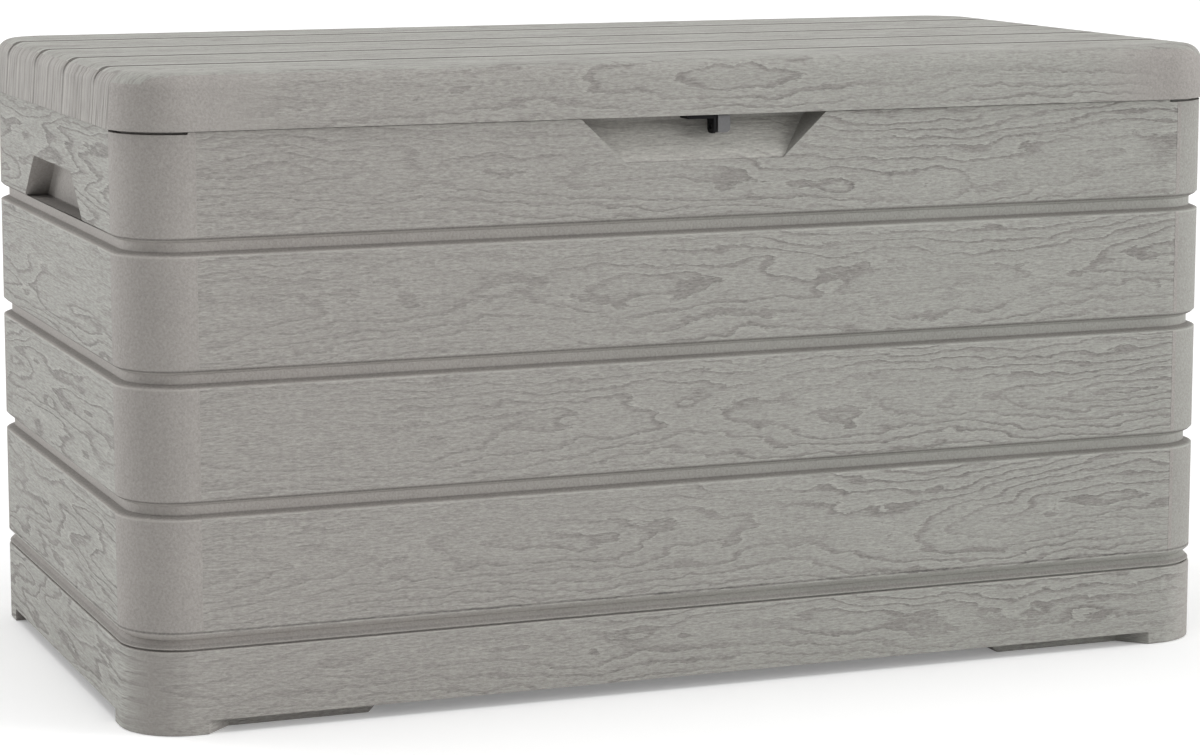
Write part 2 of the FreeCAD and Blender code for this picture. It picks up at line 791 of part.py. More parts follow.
def make_lid_shell():
    body = new_body("lid_shell")
    overhang = size("lid_overhang")
    long_half, short_half = half_length + overhang, half_depth + overhang
    sketch = new_sketch(body, "XY_Plane", lid_bottom)
    outline(sketch, rounded_rectangle(long_half, short_half, corner_radius + overhang))
    pad(body, sketch, size("lid_height"), taper=-size("lid_draft"))
    top = lid_top.value
    round_edges(body, size("lid_edge_radius"), lambda box: abs(box.ZMin - top) < EDGE_TOLERANCE)

    inset = overhang - size("lid_wall")
    inner_top = lid_top - size("lid_top_thickness")
    hollow = new_sketch(body, "XY_Plane", lid_bottom)
    outline(hollow, rounded_rectangle(half_length + inset, half_depth + inset, corner_radius + inset))
    pocket(body, hollow, inner_top - lid_bottom, backwards=True, taper=-size("lid_draft"))
    level = inner_top.value
    bevel_edges(body, size("lid_inner_bevel"), lambda box: abs(box.ZMin - level) < EDGE_TOLERANCE
                and abs(box.ZMax - level) < EDGE_TOLERANCE)

    for step in PLANK_GROOVE_STEPS:
        groove = new_sketch(body, "XZ_Plane", size("plank_pitch") * step)
        outline(groove, plank_groove_outline())
        pocket(body, groove, size("plank_groove_width"), both_ways=True)

    liner_top = liner_bottom + size("liner_thickness")
    for step in LID_RIB_STEPS:
        rib = new_sketch(body, "YZ_Plane", size("lid_rib_pitch") * step)
        outline(rib, lid_rib_outline(half_depth, liner_top))
        pad(body, rib, size("lid_rib_thickness"), both_ways=True)
    spine = new_sketch(body, "XZ_Plane")
    outline(spine, lid_rib_outline(half_length, liner_top))
    pad(body, spine, size("lid_rib_thickness"), both_ways=True)

    add_lid_pads(body)
    return body


def plank_groove_outline():
    """Side view of one groove cut: level over the top and fading out on the end roundings."""
    floor = lid_top - size("plank_groove_depth")
    end_z = lid_top - size("plank_groove_drop")
    reach = half_length + size("lid_overhang")
    surface = reach - (end_z - lid_bottom) * tangent(size("lid_draft"))
    start = surface - size("lid_edge_radius")
    above = lid_top + size("plank_groove_depth")
    radius = size("lid_edge_radius")
    return [
        (reach, end_z),
        (reach, above),
        (-reach, above),
        (-reach, end_z),
        (-surface, end_z),
        (-start, floor, radius, -1),
        (start, floor),
        (surface, end_z, radius, -1),
    ]


def lid_rib_outline(half, low):
    """A rib across the lid's hollow, with its bevelled shoulders inside the shell's wall."""
    draft = tangent(size("lid_draft"))
    top = lid_top - size("lid_top_thickness") / 2
    bevel = size("lid_inner_bevel") + size("lid_top_thickness") / 2
    reach = half + size("lid_overhang") - size("lid_wall") / 2
    side_low = reach - (low - lid_bottom) * draft
    side_knee = reach - (top - bevel - lid_bottom) * draft
    return [
        (-side_low, low), (side_low, low), (side_knee, top - bevel), (side_knee - bevel, top),
        (bevel - side_knee, top), (-side_knee, top - bevel),
    ]


def lid_leaf_back():
    """Depth side of the lid leaves: the face that lies against the pads of the rear skirt."""
    return pivot_y - size("leaf_clearance") * 2


def add_lid_pads(body):
    """Pads inside the skirt that the hinge leaves and the hasp are screwed to."""
    skirt = half_depth + size("lid_overhang") - size("lid_wall") / 2
    draft = tangent(size("lid_draft"))
    low = lid_bottom + size("lid_pad_lift")
    high = lid_leaf_top
    rear_low = skirt - (low - lid_bottom) * draft
    rear_high = skirt - (high - lid_bottom) * draft
    for place in hinge_places.values():
        block = new_sketch(body, "YZ_Plane", place)
        outline(block, [(lid_leaf_back(), low), (rear_low, low), (rear_high, high), (lid_leaf_back(), high)])
        pad(body, block, size("hinge_width"), both_ways=True)
    hasp_back = half_depth - size("hasp_tab_depth")
    middle = (size("hasp_lid_left") + size("hasp_lid_right")) / 2
    high = hasp_tab_top
    front_high = skirt - (high - lid_bottom) * draft
    block = new_sketch(body, "YZ_Plane", middle)
    outline(block, [(-hasp_back, low), (-hasp_back, high), (-front_high, high), (-rear_low, low)])
    pad(body, block, size("hasp_lid_right") - size("hasp_lid_left"), both_ways=True)

    pilots = new_sketch(body, "XZ_Plane", -lid_leaf_back())
    for place in hinge_places.values():
        for across, up in lid_leaf_screws():
            shank_hole(pilots, place + across, up)
    pocket(body, pilots, size("screw_hole_clearance") + pad_screw_length(), backwards=False)
    front_pilots = new_sketch(body, "XZ_Plane", hasp_back)
    for across, up in hasp_tab_screws():
        shank_hole(front_pilots, across, up)
    pocket(body, front_pilots, size("screw_hole_clearance") + pad_screw_length(), backwards=True)


def pad_screw_length():
    """How far a short screw reaches into its pad behind the leaf."""
    return size("lid_wall") / 2


def lid_leaf_screws():
    up = lid_leaf_top - size("screw_head_radius") - size("screw_head_margin")
    return [(-size("hinge_screw_x"), up), (size("hinge_screw_x"), up)]


def hasp_tab_screws():
    up = hasp_tab_top - size("screw_head_radius") - size("screw_head_margin")
    quarter = (size("hasp_lid_right") - size("hasp_lid_left")) / 4
    middle = (size("hasp_lid_left") + size("hasp_lid_right")) / 2
    return [(middle - quarter, up), (middle + quarter, up)]


def make_lid_liner():
    """The flat inner panel of the lid, with sunk fields between its stiff bands."""
    body = new_body("lid_liner")
    inset = size("lip_setback") - size("liner_edge_gap")
    sketch = new_sketch(body, "XY_Plane", liner_bottom)
    outline(sketch, rounded_rectangle(half_length - inset, half_depth - inset, corner_radius - inset))
    pad(body, sketch, size("liner_thickness"))

    fields = new_sketch(body, "XY_Plane", liner_bottom)
    gap = size("liner_panel_gap")
    margin = size("liner_panel_margin")
    field_x = (size("body_length") - margin * 2 - gap * (LINER_COLUMNS - 1)) / LINER_COLUMNS
    field_y = (size("body_depth") - margin * 2 - gap * (LINER_ROWS - 1)) / LINER_ROWS
    for column in range(LINER_COLUMNS):
        left = margin - half_length + (field_x + gap) * column
        for line in range(LINER_ROWS):
            low = margin - half_depth + (field_y + gap) * line
            outline(fields, rectangle(left, low, left + field_x, low + field_y))
    pocket(body, fields, size("liner_panel_depth"), backwards=True)
    return body


# Hinges: each has a leaf on the rear wall, a leaf on the lid and a pin

def add_knuckle(body, from_x, to_x, stem_low, stem_high, stem_near, stem_far):
    """A barrel round the pivot with the stem that joins it to its leaf."""
    stem = new_sketch(body, "YZ_Plane", from_x)
    outline(stem, rectangle(stem_near, stem_low, stem_far, stem_high))
    pad(body, stem, to_x - from_x)
    barrel = new_sketch(body, "YZ_Plane", from_x)
    circle(barrel, pivot_y, pivot_z, size("knuckle_radius"))
    pad(body, barrel, to_x - from_x)


def bore_knuckles(body):
    bore = new_sketch(body, "YZ_Plane")
    circle(bore, pivot_y, pivot_z, size("hinge_pin_radius") + size("pin_clearance"))
    pocket(body, bore, size("hinge_width") * OVERSHOOT, both_ways=True)


def body_leaf_faces():
    near = half_depth - size("lip_setback")
    return near, near + size("leaf_thickness")


def lid_leaf_faces():
    far = lid_leaf_back()
    return far - size("leaf_thickness"), far


def make_body_leaf(name, place):
    body = new_body(f"hinge_{name}_body_leaf")
    near, far = body_leaf_faces()
    half = size("hinge_width") / 2
    top = pivot_z - size("knuckle_radius") - size("leaf_clearance")
    plate = new_sketch(body, "YZ_Plane")
    outline(plate, rectangle(near, body_leaf_bottom, far, top))
    pad(body, plate, size("hinge_width"), both_ways=True)
    inner = size("knuckle_half") + size("knuckle_gap")
    for start, end in ((-half, -inner), (inner, half)):
        add_knuckle(body, start, end, top - size("leaf_thickness"), pivot_z, near, far)
    bore_knuckles(body)
    holes = new_sketch(body, "XZ_Plane", -near)
    for across, up in body_leaf_screws():
        shank_hole(holes, across, up)
    pocket(body, holes, size("leaf_thickness") * THROUGH, both_ways=True)
    bind(body, "Placement.Base.x", place)
    return body


def make_lid_leaf(name, place):
    body = new_body(f"hinge_{name}_lid_leaf")
    near, far = lid_leaf_faces()
    low = pivot_z + size("knuckle_radius") + size("leaf_clearance")
    plate = new_sketch(body, "YZ_Plane")
    outline(plate, rectangle(near, low, far, lid_leaf_top))
    pad(body, plate, size("hinge_width"), both_ways=True)
    half = size("knuckle_half")
    add_knuckle(body, -half, half, pivot_z, low + size("leaf_thickness"), near, far)
    bore_knuckles(body)
    holes = new_sketch(body, "XZ_Plane", -near)
    for across, up in lid_leaf_screws():
        shank_hole(holes, across, up)
    pocket(body, holes, size("leaf_thickness") * THROUGH, both_ways=True)
    bind(body, "Placement.Base.x", place)
    return body


def make_hinge_pin(name, place):
    pin = doc.addObject("Part::Cylinder", f"hinge_{name}_pin")
    pin.Label = f"hinge_{name}_pin"
    bind(pin, "Radius", size("hinge_pin_radius"))
    bind(pin, "Height", size("hinge_width") + size("pin_end") * 2)
    pin.Placement = FreeCAD.Placement(FreeCAD.Vector(), FreeCAD.Rotation(FreeCAD.Vector(0, 1, 0), 90))
    bind(pin, "Placement.Base.x", place - size("hinge_width") / 2 - size("pin_end"))
    bind(pin, "Placement.Base.y", pivot_y)
    bind(pin, "Placement.Base.z", pivot_z)
    return pin


# Hasp: two lugs side by side in the finger recess, with one padlock hole through both

def make_lid_hasp():
    """The black lug that hangs from the lid."""
    body = new_body("lid_hasp")
    left, right = size("hasp_lid_left"), size("hasp_lid_right")
    middle = (left + right) / 2
    tab_front = half_depth - size("hasp_tab_depth")
    tab_back = tab_front - size("hasp_tab_thickness")
    front = half_depth - size("hasp_front_depth")
    back = half_depth - size("hasp_flange_back_depth")
    flange_top = lid_bottom - size("hasp_flange_gap")
    flange_bottom = flange_top - size("hasp_flange_thickness")
    bracket = new_sketch(body, "YZ_Plane", middle)
    outline(bracket, [
        (-front, flange_bottom),
        (-back, flange_bottom),
        (-back, flange_top),
        (-tab_back, flange_top),
        (-tab_back, hasp_tab_top),
        (-tab_front, hasp_tab_top),
        (-tab_front, flange_top),
        (-front, flange_top),
    ])
    pad(body, bracket, right - left, both_ways=True)

    lug_back = half_depth - size("hasp_lug_back_depth")
    low = lid_bottom - size("hasp_lug_drop")
    radius = size("hasp_corner_radius")
    high = (flange_bottom + flange_top) / 2
    lug = new_sketch(body, "YZ_Plane", right)
    outline(lug, [
        (-front, high),
        (-front, low + radius),
        (radius - front, low, radius, 1),
        (-lug_back - radius, low),
        (-lug_back, low + radius, radius, 1),
        (-lug_back, high),
    ])
    pad(body, lug, size("hasp_lug_thickness"), backwards=True)
    hole = new_sketch(body, "YZ_Plane", right)
    circle(hole, size("padlock_hole_depth") - half_depth, padlock_z, size("padlock_hole_radius"))
    pocket(body, hole, size("hasp_lug_thickness") * THROUGH, both_ways=True)
    screws = new_sketch(body, "XZ_Plane", tab_back)
    for across, up in hasp_tab_screws():
        shank_hole(screws, across, up)
    pocket(body, screws, size("hasp_tab_thickness") * THROUGH, both_ways=True)
    return body


def make_body_hasp():
    """The grey lug that stands out of the recess floor beside it."""
    body = new_body("body_hasp")
    left, right = size("hasp_body_left"), size("hasp_body_right")
    low, high = hasp_body_bottom, hasp_body_top
    front = half_depth - size("hasp_front_depth")
    radius = size("hasp_corner_radius")
    block = new_sketch(body, "XZ_Plane", front)
    outline(block, [
        (left, low),
        (right - radius, low),
        (right, low + radius, radius, 1),
        (right, high),
        (left, high),
    ])
    pad(body, block, size("recess_depth") - size("hasp_front_depth") - fit_gap, backwards=True)
    slope = new_sketch(body, "YZ_Plane", (left + right) / 2)
    knee = recess_bottom + size("recess_floor_run")
    outline(slope, [
        (-half_depth - fit_gap, recess_bottom),
        (size("recess_depth") - half_depth, recess_bottom),
        (size("recess_depth") - half_depth, knee),
        (size("recess_depth") - half_depth - fit_gap, knee),
    ])
    pocket(body, slope, (right - left) * OVERSHOOT, both_ways=True)
    hole = new_sketch(body, "YZ_Plane", left)
    circle(hole, size("padlock_hole_depth") - half_depth, padlock_z, size("padlock_hole_radius"))
    pocket(body, hole, (right - left) * THROUGH, both_ways=True)
    pilot = new_sketch(body, "XZ_Plane", half_depth - size("recess_depth"))
    for across, up in hasp_screw_places():
        shank_hole(pilot, across, up)
    pocket(body, pilot, size("screw_grip"), backwards=True)
    return body


# Bumpers and screws

def make_bumpers():
    """Six soft pads under the liner that land on the lip of the walls."""
    group = doc.addObject("Part::Compound", "lid_bumpers")
    group.Label = "lid_bumpers"
    lip_middle = size("lip_setback") + wall / 2
    long_way, short_way = size("bumper_length"), size("bumper_width")
    places = []
    for side in (-1, 1):
        places.append((size("bumper_front_x") * side, lip_middle - half_depth, long_way, short_way))
        for end in (-1, 1):
            across = (half_length - lip_middle) * side
            places.append((across, size("bumper_side_y") * end, short_way, long_way))
    pads = []
    for across, up, along_x, along_y in places:
        block = doc.addObject("Part::Box", "bumper")
        bind(block, "Length", along_x)
        bind(block, "Width", along_y)
        bind(block, "Height", liner_bottom - lip_top - size("bumper_rest_gap"))
        bind(block, "Placement.Base.x", across - along_x / 2)
        bind(block, "Placement.Base.y", up - along_y / 2)
        bind(block, "Placement.Base.z", lip_top + size("bumper_rest_gap"))
        pads.append(block)
    group.Links = pads
    return group


def make_screws(label, seats, toward, shank):
    """A set of hexagon-head screws along Y, with plain eight-sided shanks.

    A seat is the point under the head, and the shank points along +Y where toward is 1.
    """
    group = doc.addObject("Part::Compound", label)
    group.Label = label
    screws = []
    for across, depth, up in seats:
        head = doc.addObject("Part::Prism", "head")
        head.Polygon = HEAD_SIDES
        bind(head, "Circumradius", size("screw_head_radius"))
        bind(head, "Height", size("screw_head_height"))
        stem = doc.addObject("Part::Prism", "shank")
        stem.Polygon = SHANK_SIDES
        bind(stem, "Circumradius", size("screw_radius"))
        bind(stem, "Height", shank)
        for item, start in ((head, depth - size("screw_head_height") * toward), (stem, as_size(depth))):
            item.Placement.Rotation = FreeCAD.Rotation(FreeCAD.Vector(1, 0, 0), -90 * toward)
            bind(item, "Placement.Base.x", across)
            bind(item, "Placement.Base.y", start)
            bind(item, "Placement.Base.z", up)
        screw = doc.addObject("Part::MultiFuse", "screw")
        screw.Shapes = [head, stem]
        screws.append(screw)
    group.Links = screws
    return group


def leaf_screw_seats(places, depth):
    return [(place + across, depth, up) for place in hinge_places.values() for across, up in places]


# The box

pieces = [
    make_base_tray(),
    make_front_panel(),
    make_rear_panel(),
    make_side_panel("left_side_panel", -1),
    make_side_panel("right_side_panel", 1),
    make_lid_shell(),
    make_lid_liner(),
    make_bumpers(),
    make_lid_hasp(),
    make_body_hasp(),
]
for hinge_name, hinge_place in hinge_places.items():
    pieces.append(make_body_leaf(hinge_name, hinge_place))
    pieces.append(make_lid_leaf(hinge_name, hinge_place))
    pieces.append(make_hinge_pin(hinge_name, hinge_place))

body_seats = leaf_screw_seats(body_leaf_screws(), body_leaf_faces()[1])
pieces.append(make_screws("hinge_body_screws", body_seats, -1, size("leaf_thickness") + wall))
lid_seats = leaf_screw_seats(lid_leaf_screws(), lid_leaf_faces()[0])
pieces.append(make_screws("hinge_lid_screws", lid_seats, 1, size("leaf_thickness") + pad_screw_length()))
tab_inside = size("hasp_tab_depth") + size("hasp_tab_thickness") - half_depth
tab_seats = [(across, tab_inside, up) for across, up in hasp_tab_screws()]
pieces.append(make_screws("lid_hasp_screws", tab_seats, -1, size("hasp_tab_thickness") + pad_screw_length()))
recess_inside = size("recess_depth") + wall - half_depth
lug_seats = [(across, recess_inside, up) for across, up in hasp_screw_places()]
pieces.append(make_screws("body_hasp_screw", lug_seats, -1, wall + size("screw_grip")))

doc.recompute()

# Checks, then one STEP file for each piece

for item in doc.Objects:
    bad = [state for state in item.State if state in ("Invalid", "Error")]
    if bad:
        raise RuntimeError(f"{item.Name} ({item.Label}) is {bad[0]}")
for piece in pieces:
    if piece.Shape.isNull() or not piece.Shape.isValid():
        raise RuntimeError(f"{piece.Label} has no valid shape")

os.makedirs("parts", exist_ok=True)
for piece in pieces:
    piece.Shape.exportStep(os.path.join("parts", f"{piece.Label}.step"))
    print(f"{piece.Label}: {len(piece.Shape.Solids)} solid(s), {piece.Shape.Volume / 1000:.1f} cm3")
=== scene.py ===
import json
import math

import bmesh
import bpy
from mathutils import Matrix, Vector

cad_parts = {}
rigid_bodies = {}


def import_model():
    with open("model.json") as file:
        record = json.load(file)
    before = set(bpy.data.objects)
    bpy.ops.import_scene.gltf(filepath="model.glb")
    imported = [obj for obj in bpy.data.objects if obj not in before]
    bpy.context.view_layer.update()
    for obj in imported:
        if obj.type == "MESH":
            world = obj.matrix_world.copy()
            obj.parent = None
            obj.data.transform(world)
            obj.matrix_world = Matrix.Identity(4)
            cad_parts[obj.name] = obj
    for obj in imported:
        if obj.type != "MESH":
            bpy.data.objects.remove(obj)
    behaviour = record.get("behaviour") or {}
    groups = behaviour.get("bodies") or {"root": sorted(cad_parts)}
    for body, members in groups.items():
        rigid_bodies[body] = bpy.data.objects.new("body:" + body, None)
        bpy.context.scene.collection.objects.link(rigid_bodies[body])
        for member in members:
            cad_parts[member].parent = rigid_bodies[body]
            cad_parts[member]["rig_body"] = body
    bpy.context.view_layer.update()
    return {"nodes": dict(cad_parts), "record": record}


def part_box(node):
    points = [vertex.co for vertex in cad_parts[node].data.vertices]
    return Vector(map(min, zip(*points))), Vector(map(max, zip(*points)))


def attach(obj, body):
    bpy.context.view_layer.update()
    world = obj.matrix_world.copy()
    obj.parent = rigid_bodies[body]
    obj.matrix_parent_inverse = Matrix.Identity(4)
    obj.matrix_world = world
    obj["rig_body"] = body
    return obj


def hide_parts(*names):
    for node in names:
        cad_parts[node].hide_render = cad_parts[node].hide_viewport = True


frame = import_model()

scene = bpy.context.scene


# Studio: a level white floor, soft light from the sky, the left rear, the right front and
# overhead, and a long lens that looks along the box's front from its left end.

CAMERA_PLACE = Vector((-1.42827, -3.70869, 0.92343))
CAMERA_TURN = 0.36983
CAMERA_DIP = 0.14208
CAMERA_LENS = 105.53
CAMERA_SHIFT = -0.05
FLOOR_HALF = 30.0
FLOOR_DROP = 0.0004
FLOOR_COLOUR = (0.93, 0.93, 0.93, 1)
FLOOR_LIFT = 0.2
SKY_COLOUR = (1, 1, 1, 1)
SKY_LIGHT = 0.4
SKY_SEEN = 1.0
LAMPS = {
    "left_rear_lamp": {"turn": 136, "height": 16, "strength": 1.2, "spread": 30},
    "right_front_lamp": {"turn": -32, "height": 12, "strength": 1.5, "spread": 30},
    "overhead_lamp": {"turn": -90, "height": 84, "strength": 1.3, "spread": 50},
}


def seen_directly(tree):
    """A mask of 1 where the camera, a reflection or a see-through ray meets the surface."""
    path = tree.nodes.new("ShaderNodeLightPath")
    total = path.outputs["Is Camera Ray"]
    for name in ("Is Glossy Ray", "Is Transmission Ray"):
        both = tree.nodes.new("ShaderNodeMath")
        both.operation = "MAXIMUM"
        tree.links.new(total, both.inputs[0])
        tree.links.new(path.outputs[name], both.inputs[1])
        total = both.outputs[0]
    return total


def make_camera():
    camera = bpy.data.objects.new("studio_camera", bpy.data.cameras.new("studio_camera"))
    camera.data.lens = CAMERA_LENS
    camera.data.shift_y = CAMERA_SHIFT
    camera.location = CAMERA_PLACE
    camera.rotation_euler = (math.pi / 2 - CAMERA_DIP, 0, -CAMERA_TURN)
    scene.collection.objects.link(camera)
    scene.camera = camera


def make_floor():
    shape = bmesh.new()
    bmesh.ops.create_grid(shape, x_segments=1, y_segments=1, size=FLOOR_HALF)
    bmesh.ops.translate(shape, verts=shape.verts, vec=(0, 0, -FLOOR_DROP))
    mesh = bpy.data.meshes.new("studio_floor")
    shape.to_mesh(mesh)
    shape.free()
    paint = bpy.data.materials.new("studio_white")
    paint.use_nodes = True
    tree = paint.node_tree
    tree.nodes.clear()
    matte = tree.nodes.new("ShaderNodeBsdfDiffuse")
    matte.inputs["Color"].default_value = FLOOR_COLOUR
    glow = tree.nodes.new("ShaderNodeEmission")
    lift = tree.nodes.new("ShaderNodeMath")
    lift.operation = "MULTIPLY"
    lift.inputs[1].default_value = FLOOR_LIFT
    tree.links.new(seen_directly(tree), lift.inputs[0])
    tree.links.new(lift.outputs[0], glow.inputs["Strength"])
    both = tree.nodes.new("ShaderNodeAddShader")
    tree.links.new(matte.outputs[0], both.inputs[0])
    tree.links.new(glow.outputs[0], both.inputs[1])
    out = tree.nodes.new("ShaderNodeOutputMaterial")
    tree.links.new(both.outputs[0], out.inputs["Surface"])
    mesh.materials.append(paint)
    floor = bpy.data.objects.new("studio_floor", mesh)
    scene.collection.objects.link(floor)


def make_light():
    world = bpy.data.worlds.new("studio_sky")
    world.use_nodes = True
    tree = world.node_tree
    background = tree.nodes["Background"]
    mix = tree.nodes.new("ShaderNodeMapRange")
    tree.links.new(seen_directly(tree), mix.inputs["Value"])
    mix.inputs["To Min"].default_value = SKY_LIGHT
    mix.inputs["To Max"].default_value = SKY_SEEN
    tree.links.new(mix.outputs["Result"], background.inputs["Strength"])
    background.inputs["Color"].default_value = SKY_COLOUR
    scene.world = world
    for name, facts in LAMPS.items():
        lamp = bpy.data.objects.new(name, bpy.data.lights.new(name, "SUN"))
        lamp.data.energy = facts["strength"]
        lamp.data.angle = math.radians(facts["spread"])
        turn = math.radians(facts["turn"])
        height = math.radians(facts["height"])
        level = math.cos(height)
        towards = Vector((math.cos(turn) * level, math.sin(turn) * level, math.sin(height)))
        lamp.rotation_euler = towards.to_track_quat("Z", "Y").to_euler()
        scene.collection.objects.link(lamp)


make_camera()
make_floor()
make_light()
scene.view_settings.view_transform = "Standard"


# Base tray: the moulded floor of the box with its plinth board and four corner feet. It is
# grey resin with wood grain pressed into the plinth, and it is the first piece out of the box.

X = 0
Y = 1
Z = 2
TRAY_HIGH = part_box("base_tray")[1]
HALF_LENGTH = TRAY_HIGH.x
HALF_DEPTH = TRAY_HIGH.y
PLINTH_TOP = TRAY_HIGH.z
CORNER_RADIUS = 0.065


def add_node(tree, kind, **settings):
    """Add a shader node with its settings."""
    made = tree.nodes.new(kind)
    for name, value in settings.items():
        setattr(made, name, value)
    return made


def plug(tree, socket, value):
    """Feed an input from another node's output, or set it to a plain number."""
    if isinstance(value, bpy.types.NodeSocket):
        tree.links.new(value, socket)
    else:
        socket.default_value = value


def calc(tree, operation, *values):
    """A math node; gives its output."""
    made = add_node(tree, "ShaderNodeMath", operation=operation)
    for socket, value in zip(made.inputs, values):
        plug(tree, socket, value)
    return made.outputs[0]


def plus(tree, base, mask, amount):
    """The base with so much of the mask added."""
    return calc(tree, "MULTIPLY_ADD", mask, amount, base)


def ramp(tree, value, low, high, to_low=0.0, to_high=1.0):
    """A soft step of the value from low to high; gives its output."""
    made = add_node(tree, "ShaderNodeMapRange", interpolation_type="SMOOTHSTEP")
    plug(tree, made.inputs["Value"], value)
    made.inputs["From Min"].default_value = low
    made.inputs["From Max"].default_value = high
    made.inputs["To Min"].default_value = to_low
    made.inputs["To Max"].default_value = to_high
    return made.outputs["Result"]


def falling(tree, value, low, high):
    """A soft step down from 1 at low to 0 at high."""
    return ramp(tree, value, low, high, 1.0, 0.0)


def band(tree, value, start, full, fading, gone):
    """A soft band that rises from start to full and falls from fading to gone."""
    return calc(tree, "MULTIPLY", ramp(tree, value, start, full), falling(tree, value, fading, gone))


def mixed_colours(tree, factor, first, second):
    """A mix node between two plain colours; gives its output."""
    mix = add_node(tree, "ShaderNodeMix", data_type="RGBA")
    plug(tree, mix.inputs[0], factor)
    mix.inputs[6].default_value = (*first, 1)
    mix.inputs[7].default_value = (*second, 1)
    return mix.outputs[2]


def mixed_values(tree, factor, first, second):
    """A mix node between two values; gives its output."""
    mix = add_node(tree, "ShaderNodeMix", data_type="FLOAT")
    plug(tree, mix.inputs[0], factor)
    plug(tree, mix.inputs[2], first)
    plug(tree, mix.inputs[3], second)
    return mix.outputs[0]


def noise(tree, vector, scale, detail, roughness):
    """Noise that lies about a half; gives its output."""
    made = add_node(tree, "ShaderNodeTexNoise")
    plug(tree, made.inputs["Vector"], vector)
    made.inputs["Scale"].default_value = scale
    made.inputs["Detail"].default_value = detail
    made.inputs["Roughness"].default_value = roughness
    return made.outputs["Fac"]


def about_nought(tree, value):
    """Noise moved down by a half, so that it lies about nought."""
    return calc(tree, "SUBTRACT", value, 0.5)


def joined(tree, x, y, z):
    """A vector from three values."""
    made = add_node(tree, "ShaderNodeCombineXYZ")
    for socket, value in zip(made.inputs, (x, y, z)):
        plug(tree, socket, value)
    return made.outputs[0]


def new_group(name, inputs, outputs):
    """An empty shader node group with float inputs and outputs, but for one vector named Place."""
    group = bpy.data.node_groups.new(name, "ShaderNodeTree")
    for label, value in inputs.items():
        kind = "NodeSocketVector" if label == "Place" else "NodeSocketFloat"
        socket = group.interface.new_socket(name=label, in_out="INPUT", socket_type=kind)
        if kind == "NodeSocketFloat":
            socket.default_value = value
    for label in outputs:
        group.interface.new_socket(name=label, in_out="OUTPUT", socket_type="NodeSocketFloat")
    source = group.nodes.new("NodeGroupInput")
    result = group.nodes.new("NodeGroupOutput")
    return group, source.outputs, result.inputs


PEBBLE_SIZE = 0.0026
PEBBLE_DETAIL = 3.0
PEBBLE_ROUGHNESS = 0.65
PEBBLE_TONE = 0.42
PEBBLE_CONTRAST = 1.1
CLOUD_SCALE = 9.0
CLOUD_DETAIL = 2.0
CLOUD_ROUGHNESS = 0.5
CLOUD_CONTRAST = 0.3


def make_pebble_group():
    """The fine pebbled skin that the mould gives every plain resin face."""
    inputs = {"Place": None, "Grain Size": PEBBLE_SIZE}
    tree, source, result = new_group("pebbled_skin", inputs, ["Height", "Tone"])
    moved = add_node(tree, "ShaderNodeVectorMath", operation="SCALE")
    plug(tree, moved.inputs[0], source["Place"])
    plug(tree, moved.inputs["Scale"], calc(tree, "DIVIDE", 1.0, source["Grain Size"]))
    pebbles = noise(tree, moved.outputs[0], 1.0, PEBBLE_DETAIL, PEBBLE_ROUGHNESS)
    clouds = noise(tree, source["Place"], CLOUD_SCALE, CLOUD_DETAIL, CLOUD_ROUGHNESS)
    plug(tree, result["Height"], pebbles)
    tone = plus(tree, PEBBLE_TONE, about_nought(tree, pebbles), PEBBLE_CONTRAST)
    plug(tree, result["Tone"], plus(tree, tone, about_nought(tree, clouds), CLOUD_CONTRAST))
    return tree


# The grain's noise layers: waves in a metre along and across the board, the layer's own slice
# of the noise, its detail and its roughness.

GRAIN_LAYERS = {
    "arch_depth": (2.1, 3.0, 0.0, 1.5, 0.5),
    "arch_middle": (1.3, 0.0, 5.0, 1.0, 0.5),
    "swirl": (9.0, 26.0, 2.0, 2.0, 0.5),
    "curl": (26.0, 66.0, 9.0, 1.0, 0.5),
    "wiggle": (110.0, 230.0, 3.0, 2.0, 0.5),
    "ragged": (130.0, 640.0, 4.0, 2.0, 0.6),
    "faintness": (4.0, 14.0, 8.0, 1.0, 0.5),
    "fibre": (45.0, 430.0, 6.0, 3.0, 0.65),
    "fleck": (140.0, 540.0, 7.0, 3.0, 0.75),
    "bands": (9.0, 85.0, 10.0, 2.0, 0.6),
}
GRAIN_INPUTS = {
    "Along": 0.0, "Across": 0.0, "Board": 0.0, "Line Spacing": 0.0095, "Arch": 0.11, "Swirl": 3.0,
    "Curl": 1.1, "Wiggle": 0.3, "Bands": 0.3, "Band Count": GRAIN_LAYERS["bands"][1], "Strength": 1.0,
}
BOARD_STEP_ALONG = 7.31
BOARD_STEP_ACROSS = 3.17
ARCH_LEAST = 0.20
ARCH_DRIFT = -0.16
RAGGED_EDGE = 0.40
LINE_BAND = (0.58, 0.82, 0.90, 0.97)
LIP_RISE = (0.95, 0.999)
LIP_FALL = (0.0, 0.16)
FAINT_RANGE = (-0.18, 0.08)
FAINTEST_LINE = 0.3
GRAIN_HEIGHTS = {"fibre": 1.1, "fleck": 1.4, "line": -0.75, "lip": 0.35}
GRAIN_TONES = {"fibre": 0.95, "fleck": 1.9, "line": -0.50, "lip": 0.24}
GRAIN_TONE = 0.5


